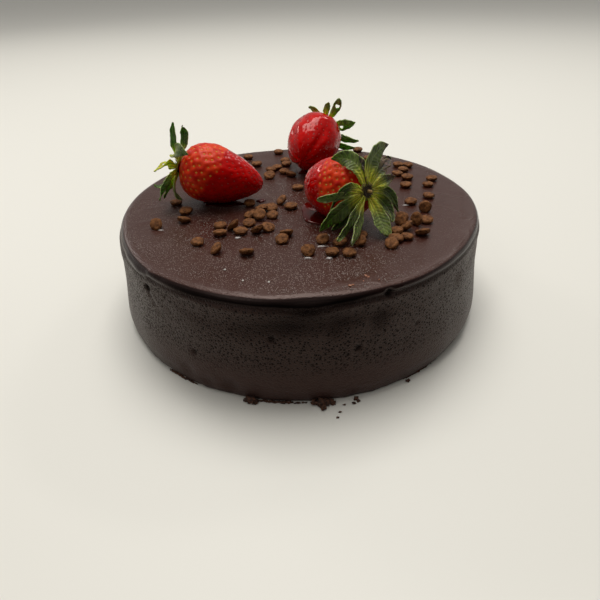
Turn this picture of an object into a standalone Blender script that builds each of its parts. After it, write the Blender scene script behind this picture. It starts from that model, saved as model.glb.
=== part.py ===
"""Round chocolate-glazed cake with three whole strawberries and chocolate drops on top.

Units are metres with +Z up. The origin is on the table, under the middle of the cake, and the
front of the cake faces -Y. The cake with its drops, each strawberry and each leafy crown is one
closed solid.
"""
import math
import random
from collections import namedtuple

import bmesh
import bpy
from mathutils import Matrix, Vector

MM = 0.001

# ---------------------------------------------------------------- driving dimensions: cake
RIM_RADIUS = 90.0 * MM          # outer edge of the glaze lip, mean over the turn
CAKE_HEIGHT = 50.7 * MM
RIM_STEPS = 72
# how far the hand-set round is out of true at the rim: (lobes, cosine part, sine part)
RIM_LOBES = ((2, 0.1 * MM, 1.1 * MM), (3, 0.5 * MM, 0.8 * MM))
LOBES_FADE = (14.0 * MM, 46.0 * MM)     # the foot is true, the lobes grow between these heights
# The lip is sharp where the glaze overhangs and round where it ran over, and two runs met in a
# break at -134. For each turn in degrees: mm that its upper edge and its lower edge stand out
LIP_FORM = (
    (-180, -1.0, -0.2), (-163, -1.2, -0.3), (-152, -1.0, 0.0), (-145, -0.6, 0.7), (-138, -0.2, 1.3),
    (-135, 0.0, 1.0), (-133, 0.5, 0.0), (-128, -0.4, 0.1), (-119, -0.9, 0.1), (-110, -1.0, 0.0),
    (-98, -1.1, 0.3), (-88, -2.0, 0.6), (-78, -1.1, 0.1), (-73, -0.7, -0.3), (-68, -0.4, -0.4),
    (-63, 0.4, 0.0), (-57, 0.8, 0.1), (-45, 0.5, 0.2), (-38, 0.1, 0.1), (-25, -0.3, 0.0),
    (0, -0.6, -0.2), (20, -1.2, 0.4), (40, -0.4, -0.6), (58, 0.2, -0.9), (80, -0.9, 0.1),
    (100, -1.4, 0.5), (120, -0.3, -0.5), (140, 0.2, -0.9), (160, -0.8, 0.2), (180, -1.0, -0.2),
)
LIP_UPPER = (46.8 * MM, 49.6 * MM)      # the upper edge's share grows between these heights
LIP_LOWER = (45.6 * MM, 47.2 * MM)      # and the lower edge's between these
# the foot is tucked in on the right
FOOT_TUCK = 1.5 * MM
FOOT_TUCK_TURN = math.radians(-15)
FOOT_TUCK_HEIGHT = 8.0 * MM
# turned profile, top to bottom: (radius past RIM_RADIUS, height)
SIDE_PROFILE = (
    (-5.0 * MM, 50.7 * MM),
    (-1.6 * MM, 50.4 * MM),
    (-0.4 * MM, 49.7 * MM),
    (0.0 * MM, 48.6 * MM),      # edge of the lip
    (-0.45 * MM, 47.0 * MM),
    (0.5 * MM, 44.9 * MM),
    (0.6 * MM, 43.0 * MM),      # soft bulge under the lip
    (0.9 * MM, 37.0 * MM),
    (1.1 * MM, 30.0 * MM),      # hollow band
    (2.0 * MM, 20.0 * MM),
    (3.2 * MM, 9.0 * MM),
    (2.9 * MM, 3.0 * MM),       # glaze gathered at the foot
    (2.4 * MM, 0.8 * MM),
    (1.5 * MM, 0.0 * MM),
)

# ---------------------------------------------------------------- driving dimensions: drops
DROP_RADIUS = 3.1 * MM
DROP_HEIGHT = 3.3 * MM
DROP_SINK = 0.5 * MM            # depth set into the glaze
DROP_SEED = 7
# (x, y) in mm on the cake top, then for a drop that leans: the angle off flat, the way its
# flat face turns, in degrees from +X, and, for one that lies on others, its lift in mm
DROP_GROUPS = {
    "left rim": ((-67, -28, 45, 265), (-55, -22, 24, 60), (-45, -45, 12, 250), (-36, -52.5, 42, 200),
                 (-22.5, -55, 28, 95)),
    "by the left crown": ((-56, -12), (-63, -1)),
    "left heap": ((-37, -29), (-36, -36.5, 18, 95), (-31, -31, 52, 150), (-27, -35)),
    "middle heap": ((-23.5, -27, 10, 260), (-23.5, -18, 20, 200), (-19, -20.5, 30, 265, 0.9),
                    (-13, -19, 15, 250), (-18.5, -10.5, 14, 150), (-13.5, -10.5, 10, 300)),
    "front of the heap": ((-19.5, -35, 40, 130), (-14.5, -32.5, 20, 320), (-6, -38, 26, 100),
                          (-8, -44.5, 18, 250)),
    "between the fruit": ((-25, -4, 8, 270), (-9, -2, 35, 200), (-4, -8.5), (-0.5, 16)),
    "back left": ((-31, 68), (-25, 54.5), (-16, 44.5), (-12.5, 48), (-16.5, 34, 18, 250),
                  (-12.5, 76.5), (-8, 61), (-7, 54), (-8, 41), (-4, 36, 20, 30)),
    "front middle": ((3.5, -56, 30, 265), (13.5, -56.5, 8, 100), (20.5, -57.5), (10, -45.5, 25, 255),
                     (17.5, -48, 15, 200), (27, -42), (26, -48.5, 40, 215)),
    "right heap": ((39.5, -51, 22, 255), (42.5, -45.5), (44, -38), (47.5, -44, 6, 20),
                   (48.5, -35, 35, 160), (47.5, -29, 50, 230), (49, -22), (54, -30, 70, 215),
                   (59.5, -28, 15, 250), (55, -40.5, 28, 105), (61.5, -16, 70, 255), (56.5, -6)),
    "right rim": ((67, 1), (70, 16.5), (74, 25), (61, 27.5), (58, 16)),
    "back right": ((56.5, 34), (61, 40), (65, 47), (59.5, 48), (38.5, 77.5), (43, 61)),
}

# ---------------------------------------------------------------- driving dimensions: berries
BERRY_TURNS = 24
BERRY_RINGS = 14
# middle: centre in mm; heading: the way the crown end points, in degrees from +X; pitch: its
# rise in degrees; taper: how much the tip narrows; blunt: lower is squarer shouldered;
# crease: depth of the fold that runs over the tip and the turn round the axis it lies at
Berry = namedtuple("Berry", "middle heading pitch length width taper blunt crease")
BERRIES = {
    "left": Berry((-38.3, 1.4, 64.4), 178, 13, 41.5 * MM, 29.0 * MM, 0.38, 0.90, (0.0, 0)),
    "back": Berry((9.0, 49.0, 65.6), 68, 15, 38.0 * MM, 29.5 * MM, 0.13, 0.83, (2.2 * MM, 40)),
    "right": Berry((18.1, -19.1, 65.3), -49, 11, 35.0 * MM, 29.2 * MM, 0.14, 0.80, (0.0, 0)),
}

# ---------------------------------------------------------------- driving dimensions: crowns
HUB_RADIUS = 4.2 * MM
HUB_THICKNESS = 1.3 * MM
HUB_STANDOFF = 1.0 * MM         # hub centre past the end of the berry
STEM_RADIUS = 0.75 * MM
STEM_LENGTH = 2.8 * MM
LEAF_THICKNESS = 0.5 * MM
LEAF_ROOT_RADIUS = 2.7 * MM     # where a leaf starts on its hub
LEAF_ROOT_SHARE = 0.1           # part of its middle's rise that a leaf already has at its root
LEAF_STEPS = 7
LEAF_LEAST_WIDTH = 1.2 * MM
LEAF_STALK = 0.09               # how far into its outline a leaf starts: lower is a thinner stalk
# A leaf runs from its hub through middle to tip. Each is (turn, reach, rise): degrees round the
# berry's axis from upright, counter-clockwise as seen from outside the crown, then mm out from
# the axis and mm along it away from the berry. width in mm; full: 1 is widest half way along,
# higher is wider towards the tip; roll: degrees the blade turns about its own midrib;
# trough: how far the edges stand above the midrib, in mm
Leaf = namedtuple("Leaf", "middle tip width full roll trough")
LEAVES = {
    "left": (
        Leaf((-7, 13, 3.0), (-1, 21.5, 4.3), 3.6, 1.2, 75, 0.3),      # upright
        Leaf((18, 14, -1.0), (12, 19.5, 0.8), 4.6, 1.3, 70, 0.4),     # upright, hooked
        Leaf((-30, 11.5, 0.6), (-40, 14.0, -5.6), 7.2, 1.2, 0, 0.8),  # bent over the shoulder
        Leaf((-70, 6.0, 5.0), (-130, 5.0, 11.0), 5.6, 1.2, 0, 0.8),   # bent outwards
        Leaf((-110, 11, 2.2), (-138, 18.6, 5.8), 5.0, 1.2, 20, 0.7),  # long, down to the glaze
        Leaf((-148, 10, 2.5), (-154, 16.6, 4.6), 5.0, 1.2, 20, 0.6),
        Leaf((-134, 12, -0.6), (-146, 15.6, -4.6), 3.8, 1.2, 0, 0.5),
        Leaf((177, 11, 5.0), (174, 13.0, 12.0), 3.6, 1.2, 0, 0.5),
        Leaf((84, 11, -0.8), (92, 16.0, -4.0), 5.6, 1.2, 0, 0.8),
        Leaf((122, 11, 0.6), (118, 16.5, 1.5), 5.0, 1.2, 0, 0.7),
    ),
    "back": (
        Leaf((-27, 10, -1.0), (-37, 14.0, -1.0), 3.6, 1.2, 0, 0.6),
        Leaf((12, 10, 0.0), (16, 15.6, -1.0), 3.8, 1.2, 0, 0.6),
        Leaf((37, 12, 0.2), (33, 20.8, -1.0), 4.8, 2.0, 0, 0.6),
        Leaf((86, 11, -0.6), (80, 19.8, 0.2), 6.8, 1.2, 0, 0.8),
        Leaf((126, 13, -0.4), (112, 23.0, 0.0), 4.6, 1.4, 0, 0.7),
        Leaf((148, 14, -0.6), (128, 23.5, 1.5), 4.4, 1.3, 0, 0.6),
        Leaf((-75, 9, -0.6), (-82, 13.0, -1.5), 5.2, 1.2, 0, 0.7),
        Leaf((-122, 10, 0.0), (-116, 17.0, 1.0), 4.8, 1.2, 0, 0.7),
        Leaf((-170, 9, 1.0), (-166, 14.0, 4.0), 5.0, 1.2, 0, 0.7),
    ),
    "right": (
        Leaf((11, 13, -3.4), (26, 17.0, -12.4), 8.6, 1.1, 0, 0.6),    # broad, laid back
        Leaf((-3, 10, -0.8), (-4, 15.5, -4.5), 2.2, 1.2, 0, 0.2),     # dry sliver
        Leaf((-27, 13.8, -0.8), (-52, 25.8, -4.0), 8.6, 1.6, 0, 0.7),  # tall blade on a stalk
        Leaf((-59, 13, -1.2), (-68, 24.5, -5.0), 7.4, 2.0, -30, 0.9),  # dry, crumpled
        Leaf((-80, 10.5, 0.8), (-84, 18.0, 1.2), 5.4, 1.4, -20, 0.9),
        Leaf((-108, 14, 0.6), (-130, 24.3, 1.4), 4.6, 1.2, 0, 0.6),
        Leaf((-131, 13.5, 1.0), (-152, 18.2, 6.0), 6.4, 1.6, 0, 0.7),
        Leaf((-169, 11, 3.4), (176, 18.8, 10.4), 11.0, 2.4, 0, 0.8),  # broad spoon at the front
        Leaf((136, 15.0, 3.6), (123, 27.6, 10.6), 5.2, 2.2, 0, 0.5),
        Leaf((124, 15.6, 2.2), (118, 29.2, 5.4), 5.0, 1.3, 0, 0.6),
        Leaf((128, 13.5, -2.6), (128, 22.0, -6.6), 4.4, 1.3, 0, 0.5),
        Leaf((108, 16.6, -2.4), (117, 26.6, -7.6), 7.4, 1.3, 0, 0.8),  # broad, lower left
        Leaf((84, 14.5, -1.6), (86, 22.5, -8.0), 3.6, 1.9, 0, 0.5),   # long, across the berry
        Leaf((72, 13.5, -0.6), (110, 16.5, -8.0), 4.0, 1.0, 0, 0.7),  # arched
    ),
}


# ---------------------------------------------------------------- helpers
def start_clean():
    """Empty the scene and make the two collections that hold solids and cutters."""
    for old in list(bpy.data.objects):
        bpy.data.objects.remove(old, do_unlink=True)
    cake_set = bpy.data.collections.new("strawberry cake")
    union_set = bpy.data.collections.new("pieces to fuse")
    for collection in (cake_set, union_set):
        bpy.context.scene.collection.children.link(collection)
    return cake_set, union_set


def material(name, colour, roughness, metallic=0.0):
    made = bpy.data.materials.new(name)
    made.use_nodes = True
    shader = made.node_tree.nodes["Principled BSDF"]
    shader.inputs["Base Color"].default_value = (*colour, 1.0)
    shader.inputs["Roughness"].default_value = roughness
    shader.inputs["Metallic"].default_value = metallic
    return made


def object_from(bm, name, collection, matter=None):
    """Turn a bmesh into an object of that collection, faces pointing out."""
    bmesh.ops.recalc_face_normals(bm, faces=bm.faces)
    mesh = bpy.data.meshes.new(name)
    bm.to_mesh(mesh)
    bm.free()
    obj = bpy.data.objects.new(name, mesh)
    collection.objects.link(obj)
    if matter:
        mesh.materials.append(matter)
    return obj


def apply_modifiers(obj):
    """Replace the mesh by what its modifiers make of it."""
    depsgraph = bpy.context.evaluated_depsgraph_get()
    mesh = bpy.data.meshes.new_from_object(obj.evaluated_get(depsgraph))
    obj.modifiers.clear()
    obj.data = mesh


def fuse(base, collection, solver="EXACT"):
    """Union everything in the collection into base, then remove those pieces."""
    union = base.modifiers.new("fused pieces", "BOOLEAN")
    union.operation = "UNION"
    union.solver = solver
    union.operand_type = "COLLECTION"
    union.collection = collection
    apply_modifiers(base)
    for piece in list(collection.objects):
        bpy.data.objects.remove(piece, do_unlink=True)


def guide(obj):
    obj.hide_render = True
    obj.display_type = "WIRE"


# ---------------------------------------------------------------- cake
def smooth_step(value, low, high):
    ratio = min(max((value - low) / (high - low), 0.0), 1.0)
    return ratio * ratio * (3 - 2 * ratio)


def lip_at(turn, height):
    """How far the lip's own form stands out, between the two turns of LIP_FORM beside it."""
    degrees = math.degrees(turn)
    for before, after in zip(LIP_FORM, LIP_FORM[1:]):
        if degrees <= after[0]:
            break
    share = smooth_step(degrees, before[0], after[0])
    upper_edge, lower_edge = (b + (a - b) * share for b, a in zip(before[1:], after[1:]))
    upper = smooth_step(height, *LIP_UPPER)
    lower = smooth_step(height, *LIP_LOWER) * (1 - upper)
    return (upper_edge * upper + lower_edge * lower) * MM


def off_true(turn, height):
    """How far the glaze stands outside the turned profile, at an angle from +X and a height."""
    lobes = sum(c * math.cos(n * turn) + s * math.sin(n * turn) for n, c, s in RIM_LOBES)
    tuck = FOOT_TUCK * max(0.0, math.cos(turn - FOOT_TUCK_TURN)) ** 2
    return (lobes * smooth_step(height, *LOBES_FADE) + lip_at(turn, height)
            - tuck * (1 - smooth_step(height, 0.0, FOOT_TUCK_HEIGHT)))


def cake_body(collection, matter):
    """The glazed round: a turned profile, pushed out of true by the rim lobes."""
    profile = [(0.0, CAKE_HEIGHT)]
    profile += [(RIM_RADIUS + out, height) for out, height in SIDE_PROFILE]
    profile += [(0.0, 0.0)]
    bm = bmesh.new()
    points = [bm.verts.new((radius, 0.0, height)) for radius, height in profile]
    for upper, lower in zip(points, points[1:]):
        bm.edges.new((upper, lower))
    mesh = bpy.data.meshes.new("cake")
    bm.to_mesh(mesh)
    bm.free()
    mesh.materials.append(matter)
    body = bpy.data.objects.new("cake", mesh)
    collection.objects.link(body)
    screw = body.modifiers.new("turn", "SCREW")
    screw.steps = screw.render_steps = RIM_STEPS
    screw.use_merge_vertices = True
    screw.merge_threshold = 0.00001
    apply_modifiers(body)
    for vertex in body.data.vertices:
        x, y, z = vertex.co
        radius = math.hypot(x, y)
        if radius > RIM_RADIUS / 2:
            swell = 1 + off_true(math.atan2(y, x), z) / radius
            vertex.co.x *= swell
            vertex.co.y *= swell
    return body


def chocolate_drop(name, place, collection, matter, rng):
    """One lentil-shaped drop, set a little into the glaze or leaning on its neighbours."""
    x, y, lean, way, lift = (*place, 0, 0, 0)[:5]
    size = rng.uniform(0.93, 1.07)
    bm = bmesh.new()
    bmesh.ops.create_uvsphere(bm, u_segments=8, v_segments=4, radius=DROP_RADIUS * size)
    flatten = DROP_HEIGHT / (2 * DROP_RADIUS)
    spin = Matrix.Rotation(rng.uniform(0, math.tau), 4, "Z")
    axis = Matrix.Rotation(math.radians(way), 4, "Z") @ Vector((0, 1, 0))
    tilt = Matrix.Rotation(math.radians(lean + rng.uniform(-4, 4)), 4, axis)
    bmesh.ops.transform(bm, matrix=tilt @ Matrix.Diagonal((1, 1, flatten, 1)) @ spin, verts=bm.verts)
    lowest = min(vertex.co.z for vertex in bm.verts)
    height = CAKE_HEIGHT - DROP_SINK - lowest + lift * MM
    bmesh.ops.translate(bm, vec=(x * MM, y * MM, height), verts=bm.verts)
    guide(object_from(bm, name, collection, matter))


def cake_with_drops(collection, pieces):
    glaze = material("chocolate glaze", (0.035, 0.018, 0.013), 0.32)
    chocolate = material("drop chocolate", (0.13, 0.055, 0.025), 0.75)
    body = cake_body(collection, glaze)
    rng = random.Random(DROP_SEED)
    for group, places in DROP_GROUPS.items():
        for number, place in enumerate(places):
            chocolate_drop(f"{group} {number}", place, pieces, chocolate, rng)
    fuse(body, pieces)
    body.data.set_sharp_from_angle(angle=math.radians(30))


# ---------------------------------------------------------------- strawberries
def berry_frame(berry):
    """Matrix with +Z along the axis out of the crown end and +X as upright as it can be."""
    heading, pitch = math.radians(berry.heading), math.radians(berry.pitch)
    out = Vector((math.cos(heading) * math.cos(pitch), math.sin(heading) * math.cos(pitch), math.sin(pitch)))
    upright = (Vector((0, 0, 1)) - out * out.z).normalized()
    side = out.cross(upright)
    turn = Matrix((upright, side, out)).transposed().to_4x4()
    return Matrix.Translation(Vector(berry.middle) * MM) @ turn


def berry_radius(berry, along):
    """Radius at an angle along the axis, from 0 at the crown end to pi at the tip."""
    def shape(angle):
        return math.sin(angle) ** berry.blunt * (1 + berry.taper * math.cos(angle))
    widest = max(shape(step * math.pi / 90) for step in range(1, 90))
    return berry.width / 2 * shape(along) / widest


def strawberry(name, berry, collection, matter):
    """A sphere drawn out to the berry's profile, with its crease and slight unevenness."""
    bm = bmesh.new()
    bmesh.ops.create_uvsphere(bm, u_segments=BERRY_TURNS, v_segments=BERRY_RINGS, radius=1)
    depth, crease_turn = berry.crease
    for vertex in bm.verts:
        x, y, z = vertex.co
        along = math.acos(max(-1.0, min(1.0, z)))
        turn = math.atan2(y, x)
        radius = berry_radius(berry, along) if abs(z) < 0.9999 else 0.0
        radius *= 1 + 0.012 * math.sin(2 * turn + 3 * along) + 0.008 * math.sin(3 * turn)
        off_crease = (turn - math.radians(crease_turn) + math.pi / 2) % math.pi - math.pi / 2
        radius -= depth * math.exp(-((off_crease / 0.22) ** 2)) * max(0.0, -z) * math.sin(along)
        vertex.co = (radius * math.cos(turn), radius * math.sin(turn), berry.length / 2 * z)
    bmesh.ops.transform(bm, matrix=berry_frame(berry), verts=bm.verts)
    berry_object = object_from(bm, name, collection, matter)
    berry_object.data.shade_smooth()


# ---------------------------------------------------------------- leafy crowns
def polar(turn, reach, rise):
    """A point of a crown: degrees round the axis, mm out from it and mm along it."""
    angle = math.radians(turn)
    return Vector((reach * MM * math.cos(angle), reach * MM * math.sin(angle), rise * MM))


def leaf_line(leaf, along):
    """Point on the curve through root, middle and tip, along from 0 to 1."""
    root = polar(leaf.middle[0], LEAF_ROOT_RADIUS / MM, LEAF_ROOT_SHARE * leaf.middle[2])
    middle, tip = polar(*leaf.middle), polar(*leaf.tip)
    return (root * (2 * along - 1) * (along - 1) + middle * 4 * along * (1 - along)
            + tip * along * (2 * along - 1))


def leaf_width(leaf, along):
    full = math.sin(math.pi * (LEAF_STALK + (1 - LEAF_STALK) * along) ** leaf.full)
    return max(leaf.width * MM * max(full, 0.0) ** (1.1 - 0.3 * leaf.full), LEAF_LEAST_WIDTH)


def crown_leaf(name, leaf, frame, collection, matter):
    """A grid bent along the leaf's line, troughed and waved, then given its thickness."""
    bm = bmesh.new()
    bmesh.ops.create_grid(bm, x_segments=LEAF_STEPS, y_segments=2, size=1)
    for vertex in bm.verts:
        along, across = (vertex.co.x + 1) / 2, vertex.co.y
        here = leaf_line(leaf, along)
        step = 0.02
        run = (leaf_line(leaf, along + step) - leaf_line(leaf, along - step)).normalized()
        outward = Vector((0, 0, 1)) - run * run.z
        if outward.length < 0.3:
            outward = Vector((-here.x, -here.y, 0)) - run * run.dot(Vector((-here.x, -here.y, 0)))
        outward.normalize()
        sideways = outward.cross(run)
        roll = Matrix.Rotation(math.radians(leaf.roll) * min(1.0, 2.5 * along), 3, run)
        wave = 0.25 * math.sin(9 * along + 2 * across) * MM
        lift = leaf.trough * MM * abs(across) * math.sin(math.pi * along) + wave * abs(across)
        spread = leaf_width(leaf, along) / 2 * across
        vertex.co = here + roll @ (sideways * spread + outward * lift)
    bmesh.ops.triangulate(bm, faces=bm.faces)
    bmesh.ops.transform(bm, matrix=frame, verts=bm.verts)
    piece = object_from(bm, name, collection, matter)
    solid = piece.modifiers.new("thickness", "SOLIDIFY")
    solid.thickness = LEAF_THICKNESS
    solid.offset = 0.0
    guide(piece)


def crown(name, berry, leaves, collection, pieces, matter):
    """A flat hub at the end of the berry, with a stub of stem and its leaves fused on."""
    frame = berry_frame(berry) @ Matrix.Translation((0, 0, berry.length / 2 + HUB_STANDOFF))
    bm = bmesh.new()
    bmesh.ops.create_uvsphere(bm, u_segments=12, v_segments=6, radius=HUB_RADIUS)
    flatten = Matrix.Diagonal((1, 1, HUB_THICKNESS / HUB_RADIUS / 2, 1))
    bmesh.ops.transform(bm, matrix=frame @ flatten, verts=bm.verts)
    hub = object_from(bm, name, collection, matter)
    bm = bmesh.new()
    bmesh.ops.create_cone(bm, cap_ends=True, segments=8, radius1=STEM_RADIUS, radius2=STEM_RADIUS * 0.8,
                          depth=STEM_LENGTH)
    upward = Matrix.Translation((0, 0, STEM_LENGTH / 2))
    bmesh.ops.transform(bm, matrix=frame @ upward, verts=bm.verts)
    guide(object_from(bm, f"{name} stem", pieces, matter))
    for number, leaf in enumerate(leaves):
        crown_leaf(f"{name} leaf {number}", leaf, frame, pieces, matter)
    fuse(hub, pieces, "MANIFOLD")


# ---------------------------------------------------------------- build
cake_set, union_set = start_clean()
cake_with_drops(cake_set, union_set)
berry_red = material("strawberry", (0.42, 0.012, 0.008), 0.3)
leaf_green = material("leaf", (0.07, 0.13, 0.025), 0.65)
for side, fruit in BERRIES.items():
    strawberry(f"berry_{side}", fruit, cake_set, berry_red)
    crown(f"calyx_{side}", fruit, LEAVES[side], cake_set, union_set, leaf_green)
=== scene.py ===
"""The finished look of a round chocolate-glazed cake with strawberries and chocolate drops on top.

Units are metres with +Z up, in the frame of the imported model. The sections follow the cake as it
is put together: glaze, sponge at the foot, drops, fruit, crowns, syrup and the marks on the glaze.
"""

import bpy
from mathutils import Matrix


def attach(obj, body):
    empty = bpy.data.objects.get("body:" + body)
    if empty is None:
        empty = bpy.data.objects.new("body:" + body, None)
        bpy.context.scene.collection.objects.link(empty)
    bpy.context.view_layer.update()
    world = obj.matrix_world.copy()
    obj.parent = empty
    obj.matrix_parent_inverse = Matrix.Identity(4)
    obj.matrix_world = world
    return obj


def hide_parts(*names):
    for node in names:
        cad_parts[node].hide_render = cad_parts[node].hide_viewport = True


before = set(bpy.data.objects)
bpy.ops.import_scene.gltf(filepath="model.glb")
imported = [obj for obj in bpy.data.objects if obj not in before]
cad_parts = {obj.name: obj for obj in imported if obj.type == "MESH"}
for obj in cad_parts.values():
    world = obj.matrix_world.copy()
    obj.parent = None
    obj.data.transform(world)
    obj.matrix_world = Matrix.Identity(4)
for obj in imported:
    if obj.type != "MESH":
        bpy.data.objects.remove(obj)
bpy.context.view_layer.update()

import math
import random
from collections import namedtuple
from functools import cached_property
from math import atan2, cos, exp, hypot, pi, radians, sin, tau

import bmesh
import bpy
from mathutils import Matrix, Vector, kdtree, noise

# ---------------- camera
# The cake is seen from the front, from about 34 degrees above, through a wide lens.
# The place and the turn come from the ellipses of the cake's rim and foot.
MM = 0.001
CAMERA_PLACE = Vector((0.0, -241.6, 154.4)) * MM
CAMERA_PITCH = radians(34.41)  # down
CAMERA_YAW = radians(-0.14)
CAMERA_ROLL = radians(-1.32)
LENS = 30.0
SENSOR = 36.0
NEAREST = 10 * MM


def place_in_scene(name, data):
    placed = bpy.data.objects.new(name, data)
    bpy.context.scene.collection.objects.link(placed)
    return placed


def turn_to(x, y, z):
    """Matrix that turns +X, +Y and +Z to three directions."""
    return Matrix((x, y, z)).transposed().to_4x4()


level_run = cos(CAMERA_PITCH)
ahead = Vector((sin(CAMERA_YAW) * level_run, cos(CAMERA_YAW) * level_run, -sin(CAMERA_PITCH)))
level = Vector((cos(CAMERA_YAW), -sin(CAMERA_YAW), 0.0))
above = level.cross(ahead)
right = level * cos(CAMERA_ROLL) + above * sin(CAMERA_ROLL)
up = above * cos(CAMERA_ROLL) - level * sin(CAMERA_ROLL)
camera = place_in_scene("camera", bpy.data.cameras.new("camera"))
camera.data.lens = LENS
camera.data.sensor_width = SENSOR
camera.data.clip_start = NEAREST
camera.matrix_world = Matrix.Translation(CAMERA_PLACE) @ turn_to(right, up, -ahead)
bpy.context.scene.camera = camera

# ---------------- floor and light
# A plain pale floor that ends in front like a table. Soft light comes from a panel above and from
# the room behind, and the camera's side of the room is dim, so the lip and the hollows of the front
# wall stay dark. Small panes at the left and two windows behind give the fruit its highlights.
FLOOR_SIZE = 8.0
TABLE_EDGE = -0.28  # Y of the floor's front edge
FLOOR_COLOUR = (0.77, 0.75, 0.69)
ROOM_FRONT = 0.05  # brightness of the room on the camera's side
ROOM_BACK = 0.37
ROOM_ABOVE = 0.5
FRONT_TO_BACK = (-0.45, 0.55)  # Y of the direction in which the room's brightness changes
WALL_TO_CEILING = (0.55, 0.95)  # and its Z
# name: (place, size across, size up, power in watts)
SOFT_LIGHTS = {
    "panel above": ((-0.05, 0.42, 1.35), 0.9, 0.9, 15.2),
    "pane low": ((-0.62, -0.7, 0.62), 0.2, 0.07, 0.25),
    "pane middle": ((-0.6, -0.66, 0.76), 0.2, 0.07, 0.25),
    "pane high": ((-0.57, -0.61, 0.9), 0.2, 0.07, 0.25),
    "window right": ((0.62, 0.9, 0.88), 0.3, 0.1, 1.2),
    "window left": ((-0.85, 0.95, 0.68), 0.3, 0.1, 1.2),
}
LIGHT_COLOUR = (1.0, 0.985, 0.95)
LIGHT_AIM = Vector((0.0, 0.0, 0.06))


class Finish:
    """The shader nodes of a material or of the room. An input is a number, a colour or an output."""

    def __init__(self, owner):
        owner.use_nodes = True
        self.owner = owner
        self.tree = owner.node_tree

    def fill(self, filled, values):
        for name, value in values.items():
            socket = filled.inputs[name]
            if isinstance(value, bpy.types.NodeSocket):
                self.tree.links.new(value, socket)
            else:
                socket.default_value = (*value, 1.0) if socket.type == "RGBA" else value

    def node(self, kind, values, output=0, **options):
        added = self.tree.nodes.new("ShaderNode" + kind)
        for option, value in options.items():
            setattr(added, option, value)
        self.fill(added, values)
        return added.outputs[output]

    @cached_property
    def place(self):
        return self.node("TexCoord", {}, "Object")

    def axis(self, vector, name):
        return self.node("SeparateXYZ", {0: vector}, name)

    def attribute(self, name):
        return self.node("Attribute", {}, "Fac", attribute_name=name)

    def mottle(self, scale, detail, roughness=0.5):
        values = {"Vector": self.place, "Scale": scale, "Detail": detail, "Roughness": roughness}
        return self.node("TexNoise", values, "Fac")

    def cells(self, scale, flat=None):
        """Distance from the middle of a cell, and a number that each cell draws. flat: a layout in X, Y."""
        values = {"Vector": self.place if flat is None else flat, "Scale": scale}
        kind = "3D" if flat is None else "2D"
        off = self.node("TexVoronoi", values, "Distance", voronoi_dimensions=kind)
        return off, self.axis(off.node.outputs["Color"], "X")

    def maths(self, operation, first, *others):
        """ADD, MULTIPLY and the like, from left to right."""
        for other in others or (0.0,):
            first = self.node("Math", {0: first, 1: other}, operation=operation)
        return first

    def times(self, *values):
        return self.maths("MULTIPLY", *values)

    def plus(self, *values):
        return self.maths("ADD", *values)

    def minus(self, *values):
        return self.maths("SUBTRACT", *values)

    def ramp(self, value, low, high, start=0.0, end=1.0):
        """Turn low to high of a value into start to end, smoothly and no further."""
        values = {"Value": value, "From Min": low, "From Max": high, "To Min": start, "To Max": end}
        return self.node("MapRange", values, interpolation_type="SMOOTHSTEP")

    def blend(self, colour, *coats):
        """Lay coats over a colour, each a share and its own colour."""
        for share, coat in coats:
            colour = self.node("Mix", {0: share, 6: colour, 7: coat}, 2, data_type="RGBA")
        return colour

    def bump(self, height, strength, distance):
        return self.node("Bump", {"Height": height, "Strength": strength, "Distance": distance})

    def into(self, values, shader="Principled BSDF"):
        self.fill(self.tree.nodes[shader], values)
        return self.owner


def new_finish(name):
    return Finish(bpy.data.materials.new(name))


def piece_from(name, bm, *finishes):
    """Turn a bmesh into a smooth-shaded piece with its materials."""
    mesh = bpy.data.meshes.new(name)
    bm.to_mesh(mesh)
    bm.free()
    mesh.shade_smooth()
    for made in finishes:
        mesh.materials.append(made)
    return place_in_scene(name, mesh)


def dress(piece, replaced=()):
    """A finished piece rides on the cake, and may stand for solids, which it hides."""
    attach(piece, "root")
    if replaced:
        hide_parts(*replaced)


bm = bmesh.new()
bmesh.ops.create_grid(bm, x_segments=1, y_segments=1, size=FLOOR_SIZE / 2)
for vertex in bm.verts:
    vertex.co.y = max(vertex.co.y, TABLE_EDGE)
floor_pale = new_finish("floor").into({"Base Color": FLOOR_COLOUR, "Roughness": 0.55})
piece_from("floor", bm, floor_pale)

for name, (place, across, high, power) in SOFT_LIGHTS.items():
    light = bpy.data.lights.new(name, "AREA")
    light.shape = "RECTANGLE"
    light.size, light.size_y, light.energy, light.color = across, high, power, LIGHT_COLOUR
    lamp = place_in_scene(name, light)
    lamp.location = place
    lamp.rotation_euler = (LIGHT_AIM - lamp.location).to_track_quat("-Z", "Y").to_euler()

room = Finish(bpy.data.worlds.new("room"))
towards = room.node("TexCoord", {}, "Generated")
sides = room.ramp(room.axis(towards, "Y"), *FRONT_TO_BACK, ROOM_FRONT, ROOM_BACK)
overhead = room.ramp(room.axis(towards, "Z"), *WALL_TO_CEILING)
lit = room.node("Mix", {0: overhead, 2: sides, 3: ROOM_ABOVE})
bpy.context.scene.world = room.into({"Strength": lit, "Color": LIGHT_COLOUR}, "Background")
bpy.context.scene.view_settings.view_transform = "Standard"

# ---------------- glazed cake
# One layer cake under a poured dark chocolate glaze, uncut. The glaze is smooth on top, ends in a
# thin lip at the rim, and clings to the wall in a skin with fine pores, dents and a few deep pits.
RIM_RADIUS = 90 * MM
CAKE_HEIGHT = 50.7 * MM
# (lobes round the rim, how far they stand out by cosine and by sine), and where they fade out
RIM_LOBES = ((2, 0.1 * MM, 1.1 * MM), (3, 0.5 * MM, 0.8 * MM))
LOBES_FADE = (14 * MM, 46 * MM)
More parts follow.
